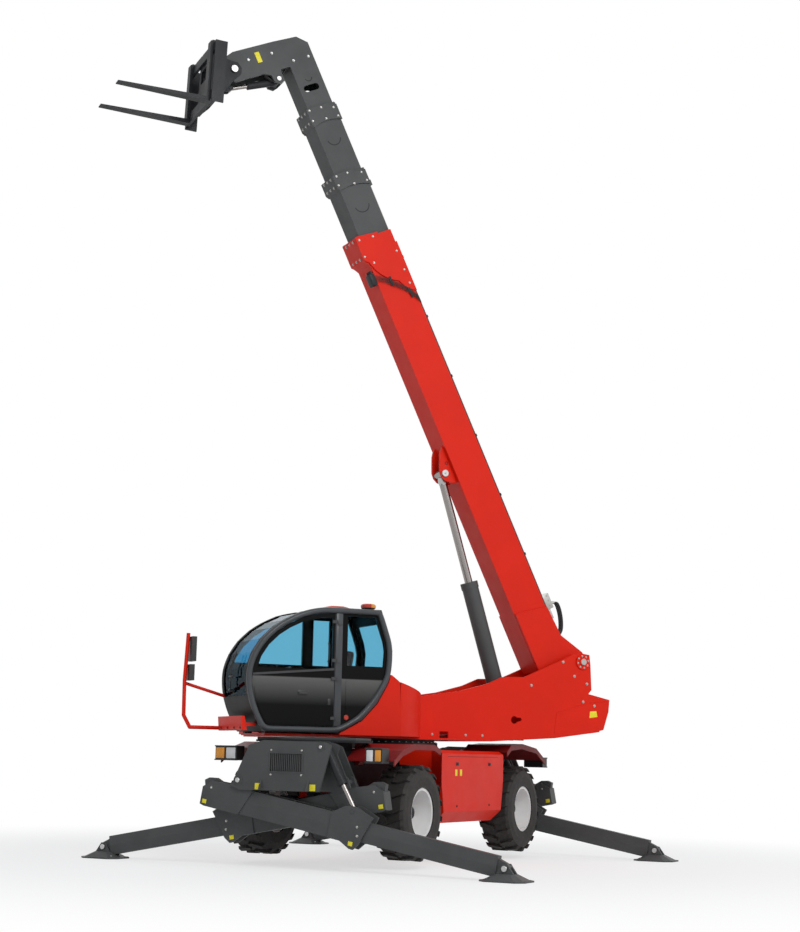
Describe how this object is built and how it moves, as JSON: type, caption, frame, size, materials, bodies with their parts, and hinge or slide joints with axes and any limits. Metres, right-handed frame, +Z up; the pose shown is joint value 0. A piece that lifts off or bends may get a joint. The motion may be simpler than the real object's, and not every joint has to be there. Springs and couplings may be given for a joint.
{
  "type": "telehandler",
  "caption": "Rotating telehandler on four crossed telescopic outriggers, slewed, with its four-section boom raised and pallet forks on the carriage.",
  "frame": {"origin": "middle of the footprint's bounding box, on the ground under the outrigger feet", "axes": "+Z up; the upper structure (cab, boom, forks) faces -Y with its left side at +X; the undercarriage is swung 38.56 degrees anticlockwise under it"},
  "size_m": [8.3572, 8.342, 11.1809],
  "materials": {
    "red_paint": "gloss",
    "grey_paint": "satin",
    "black_paint": "gloss",
    "dark_steel": "satin",
    "guard_paint": "satin",
    "rim_paint": "satin",
    "tyre_rubber": "matte",
    "chrome_rod": "polished",
    "window": "clear",
    "seat_cloth": "matte",
    "black_plastic": "matte",
    "red_plastic": "gloss",
    "lamp_black": "gloss",
    "engine": "matte",
    "fork_steel": "satin"
  },
  "bodies": {
    "chassis": {"chassis_frame": "dark_steel", "outrigger_carriers": "grey_paint", "axles": "dark_steel", "side_boxes": "red_paint", "mudguards": "guard_paint", "lamps": "lamp_black", "slew_ring": "dark_steel"},
    "turret": {"turret_frame": "red_paint", "counterweight": "red_paint", "engine_block": "engine", "cab_frame": "black_paint", "cab_glass": "window", "cab_fairing": "red_paint", "cab_seat": "seat_cloth", "cab_trim": "black_plastic", "cab_guards": "red_paint", "cab_lamps": "red_plastic"},
    "hood": {"engine_hood": "red_paint"},
    "door": {"cab_door": "black_paint", "door_glass": "window"},
    "boom_1": {"boom_section_1": "red_paint", "extension_barrel": "grey_paint"},
    "boom_2": {"boom_section_2": "grey_paint", "extension_rod": "chrome_rod"},
    "boom_3": {"boom_section_3": "grey_paint"},
    "boom_4": {"boom_section_4": "grey_paint"},
    "lift_rod": {"lift_rod": "chrome_rod"},
    "lift_barrel": {"lift_barrel": "grey_paint"},
    "carriage": {"carriage": "dark_steel", "forks": "fork_steel"},
    "tilt_barrel": {"tilt_barrel": "grey_paint"},
    "tilt_rod": {"tilt_rod": "chrome_rod"},
    "knuckle_front_left": {"knuckle_front_left": "dark_steel"},
    "wheel_front_left": {"tyre_front_left": "tyre_rubber", "rim_front_left": "rim_paint"},
    "knuckle_front_right": {"knuckle_front_right": "dark_steel"},
    "wheel_front_right": {"tyre_front_right": "tyre_rubber", "rim_front_right": "rim_paint"},
    "knuckle_rear_left": {"knuckle_rear_left": "dark_steel"},
    "wheel_rear_left": {"tyre_rear_left": "tyre_rubber", "rim_rear_left": "rim_paint"},
    "knuckle_rear_right": {"knuckle_rear_right": "dark_steel"},
    "wheel_rear_right": {"tyre_rear_right": "tyre_rubber", "rim_rear_right": "rim_paint"},
    "beam_front_left": {"outrigger_beam_front_left": "grey_paint"},
    "leg_front_left": {"outrigger_leg_front_left": "grey_paint"},
    "stab_barrel_front_left": {"stabiliser_barrel_front_left": "grey_paint"},
    "stab_rod_front_left": {"stabiliser_rod_front_left": "chrome_rod"},
    "beam_front_right": {"outrigger_beam_front_right": "grey_paint"},
    "leg_front_right": {"outrigger_leg_front_right": "grey_paint"},
    "stab_barrel_front_right": {"stabiliser_barrel_front_right": "grey_paint"},
    "stab_rod_front_right": {"stabiliser_rod_front_right": "chrome_rod"},
    "beam_rear_left": {"outrigger_beam_rear_left": "grey_paint"},
    "leg_rear_left": {"outrigger_leg_rear_left": "grey_paint"},
    "stab_barrel_rear_left": {"stabiliser_barrel_rear_left": "grey_paint"},
    "stab_rod_rear_left": {"stabiliser_rod_rear_left": "chrome_rod"},
    "beam_rear_right": {"outrigger_beam_rear_right": "grey_paint"},
    "leg_rear_right": {"outrigger_leg_rear_right": "grey_paint"},
    "stab_barrel_rear_right": {"stabiliser_barrel_rear_right": "grey_paint"},
    "stab_rod_rear_right": {"stabiliser_rod_rear_right": "chrome_rod"}
  },
  "joints": [
    {"name": "slew", "type": "hinge", "parent": "chassis", "child": "turret", "pos_m": [0.024, 0.14844, 1.575], "axis": [0, 0, 1], "continuous": true},
    {"name": "steer_front_left", "type": "hinge", "parent": "chassis", "child": "knuckle_front_left", "pos_m": [1.54377, -0.63508, 0.673], "axis": [0, 0, 1], "range_deg": [-27, 27]},
    {"name": "roll_front_left", "type": "hinge", "parent": "knuckle_front_left", "child": "wheel_front_left", "pos_m": [1.80181, -0.42938, 0.673], "axis": [0.782, 0.6233, 0], "continuous": true},
    {"name": "steer_front_right", "type": "hinge", "parent": "chassis", "child": "knuckle_front_right", "pos_m": [0.44903, -1.50775, 0.673], "axis": [0, 0, 1], "range_deg": [-27, 27]},
    {"name": "roll_front_right", "type": "hinge", "parent": "knuckle_front_right", "child": "wheel_front_right", "pos_m": [0.19098, -1.71345, 0.673], "axis": [-0.782, -0.6233, 0], "continuous": true},
    {"name": "steer_rear_left", "type": "hinge", "parent": "chassis", "child": "knuckle_rear_left", "pos_m": [-0.40103, 1.80462, 0.673], "axis": [0, 0, 1], "range_deg": [-27, 27]},
    {"name": "roll_rear_left", "type": "hinge", "parent": "knuckle_rear_left", "child": "wheel_rear_left", "pos_m": [-0.14299, 2.01032, 0.673], "axis": [0.782, 0.6233, 0], "continuous": true},
    {"name": "steer_rear_right", "type": "hinge", "parent": "chassis", "child": "knuckle_rear_right", "pos_m": [-1.49577, 0.93195, 0.673], "axis": [0, 0, 1], "range_deg": [-27, 27]},
    {"name": "roll_rear_right", "type": "hinge", "parent": "knuckle_rear_right", "child": "wheel_rear_right", "pos_m": [-1.75382, 0.72625, 0.673], "axis": [-0.782, -0.6233, 0], "continuous": true},
    {"name": "outrigger_front_left", "type": "hinge", "parent": "chassis", "child": "beam_front_left", "pos_m": [1.14117, -2.32949, 1.029], "axis": [0.6233, -0.782, 0], "range_deg": [-4, 12]},
    {"name": "outrigger_leg_front_left", "type": "slide", "parent": "beam_front_left", "child": "leg_front_left", "axis": [0.7694, 0.6133, -0.1788], "range_m": [-1.47, 0]},
    {"name": "outrigger_cylinder_front_left", "type": "hinge", "parent": "chassis", "child": "stab_barrel_front_left", "pos_m": [2.03651, -1.61578, 1.44], "axis": [0.6233, -0.782, 0], "range_deg": [-6.85, 18.56]},
    {"name": "outrigger_rod_front_left", "type": "slide", "parent": "stab_barrel_front_left", "child": "stab_rod_front_left", "axis": [0.3896, 0.3106, -0.867], "range_m": [-0.2477, 0.0859]},
    {"name": "outrigger_front_right", "type": "hinge", "parent": "chassis", "child": "beam_front_right", "pos_m": [2.06962, -1.34128, 1.029], "axis": [-0.6233, 0.782, 0], "range_deg": [-4, 12]},
    {"name": "outrigger_leg_front_right", "type": "slide", "parent": "beam_front_right", "child": "leg_front_right", "axis": [-0.7694, -0.6133, -0.1788], "range_m": [-1.47, 0]},
    {"name": "outrigger_cylinder_front_right", "type": "hinge", "parent": "chassis", "child": "stab_barrel_front_right", "pos_m": [1.17429, -2.055, 1.44], "axis": [-0.6233, 0.782, 0], "range_deg": [-6.85, 18.56]},
    {"name": "outrigger_rod_front_right", "type": "slide", "parent": "stab_barrel_front_right", "child": "stab_rod_front_right", "axis": [-0.3896, -0.3106, -0.867], "range_m": [-0.2477, 0.0859]},
    {"name": "outrigger_rear_left", "type": "hinge", "parent": "chassis", "child": "beam_rear_left", "pos_m": [-2.06962, 1.69836, 1.029], "axis": [0.6233, -0.782, 0], "range_deg": [-4, 12]},
    {"name": "outrigger_leg_rear_left", "type": "slide", "parent": "beam_rear_left", "child": "leg_rear_left", "axis": [0.7694, 0.6133, -0.1788], "range_m": [-1.47, 0]},
    {"name": "outrigger_cylinder_rear_left", "type": "hinge", "parent": "chassis", "child": "stab_barrel_rear_left", "pos_m": [-1.17429, 2.41208, 1.44], "axis": [0.6233, -0.782, 0], "range_deg": [-6.85, 18.56]},
    {"name": "outrigger_rod_rear_left", "type": "slide", "parent": "stab_barrel_rear_left", "child": "stab_rod_rear_left", "axis": [0.3896, 0.3106, -0.867], "range_m": [-0.2477, 0.0859]},
    {"name": "outrigger_rear_right", "type": "hinge", "parent": "chassis", "child": "beam_rear_right", "pos_m": [-1.14117, 2.68657, 1.029], "axis": [-0.6233, 0.782, 0], "range_deg": [-4, 12]},
    {"name": "outrigger_leg_rear_right", "type": "slide", "parent": "beam_rear_right", "child": "leg_rear_right", "axis": [-0.7694, -0.6133, -0.1788], "range_m": [-1.47, 0]},
    {"name": "outrigger_cylinder_rear_right", "type": "hinge", "parent": "chassis", "child": "stab_barrel_rear_right", "pos_m": [-2.03651, 1.97286, 1.44], "axis": [-0.6233, 0.782, 0], "range_deg": [-6.85, 18.56]},
    {"name": "outrigger_rod_rear_right", "type": "slide", "parent": "stab_barrel_rear_right", "child": "stab_rod_rear_right", "axis": [-0.3896, -0.3106, -0.867], "range_m": [-0.2477, 0.0859]},
    {"name": "engine_hood", "type": "hinge", "parent": "turret", "child": "hood", "pos_m": [-0.416, 0.14844, 2.16], "axis": [0, 1, 0], "range_deg": [0, 50]},
    {"name": "cab_door", "type": "hinge", "parent": "turret", "child": "door", "pos_m": [1.29, -1.20156, 2.4], "axis": [0, 0, 1], "range_deg": [0, 95]},
    {"name": "boom_lift", "type": "hinge", "parent": "turret", "child": "boom_1", "pos_m": [0.024, 2.85644, 2.702], "axis": [-1, 0, 0], "range_deg": [-64, 16]},
    {"name": "boom_extend_2", "type": "slide", "parent": "boom_1", "child": "boom_2", "axis": [0, -0.4384, 0.8988], "range_m": [-0.62, 4.7]},
    {"name": "boom_extend_3", "type": "slide", "parent": "boom_2", "child": "boom_3", "axis": [0, -0.4384, 0.8988], "range_m": [-0.62, 4.7]},
    {"name": "boom_extend_4", "type": "slide", "parent": "boom_3", "child": "boom_4", "axis": [0, -0.4384, 0.8988], "range_m": [-0.62, 4.7]},
    {"name": "lift_cylinder_turn", "type": "hinge", "parent": "boom_1", "child": "lift_rod", "pos_m": [0.024, 0.79731, 5.23577], "axis": [-1, 0, 0], "range_deg": [-5.58, 2.15]},
    {"name": "lift_cylinder_slide", "type": "slide", "parent": "lift_rod", "child": "lift_barrel", "axis": [0, 0.296, -0.9552], "range_m": [-1.3535, 0.3459]},
    {"name": "fork_tilt", "type": "hinge", "parent": "boom_4", "child": "carriage", "pos_m": [0.024, -2.50042, 10.51436], "axis": [-1, 0, 0], "range_deg": [-20, 75]},
    {"name": "tilt_cylinder_turn", "type": "hinge", "parent": "boom_4", "child": "tilt_barrel", "pos_m": [0.024, -1.84071, 10.51904], "axis": [-1, 0, 0], "range_deg": [-4.45, 13.93]},
    {"name": "tilt_cylinder_slide", "type": "slide", "parent": "tilt_barrel", "child": "tilt_rod", "axis": [0, -0.9478, -0.3189], "range_m": [-0.0618, 0.2043]}
  ],
  "couplings": [
    {"joint": "steer_front_right", "follows": "steer_front_left", "ratio": 1},
    {"joint": "steer_rear_right", "follows": "steer_rear_left", "ratio": 1},
    {"joint": "outrigger_cylinder_front_left", "follows": "outrigger_front_left", "ratio": 1.4632},
    {"joint": "outrigger_rod_front_left", "follows": "outrigger_front_left", "m_per_rad": -1.1588},
    {"joint": "outrigger_cylinder_front_right", "follows": "outrigger_front_right", "ratio": 1.4632},
    {"joint": "outrigger_rod_front_right", "follows": "outrigger_front_right", "m_per_rad": -1.1588},
    {"joint": "outrigger_cylinder_rear_left", "follows": "outrigger_rear_left", "ratio": 1.4632},
    {"joint": "outrigger_rod_rear_left", "follows": "outrigger_rear_left", "m_per_rad": -1.1588},
    {"joint": "outrigger_cylinder_rear_right", "follows": "outrigger_rear_right", "ratio": 1.4632},
    {"joint": "outrigger_rod_rear_right", "follows": "outrigger_rear_right", "m_per_rad": -1.1588},
    {"joint": "boom_extend_3", "follows": "boom_extend_2", "ratio": 1},
    {"joint": "boom_extend_4", "follows": "boom_extend_2", "ratio": 1},
    {"joint": "lift_cylinder_turn", "follows": "boom_lift", "ratio": 0.0716},
    {"joint": "lift_cylinder_slide", "follows": "boom_lift", "m_per_rad": 1.2028},
    {"joint": "tilt_cylinder_turn", "follows": "fork_tilt", "ratio": 0.1724},
    {"joint": "tilt_cylinder_slide", "follows": "fork_tilt", "m_per_rad": 0.1484}
  ]
}
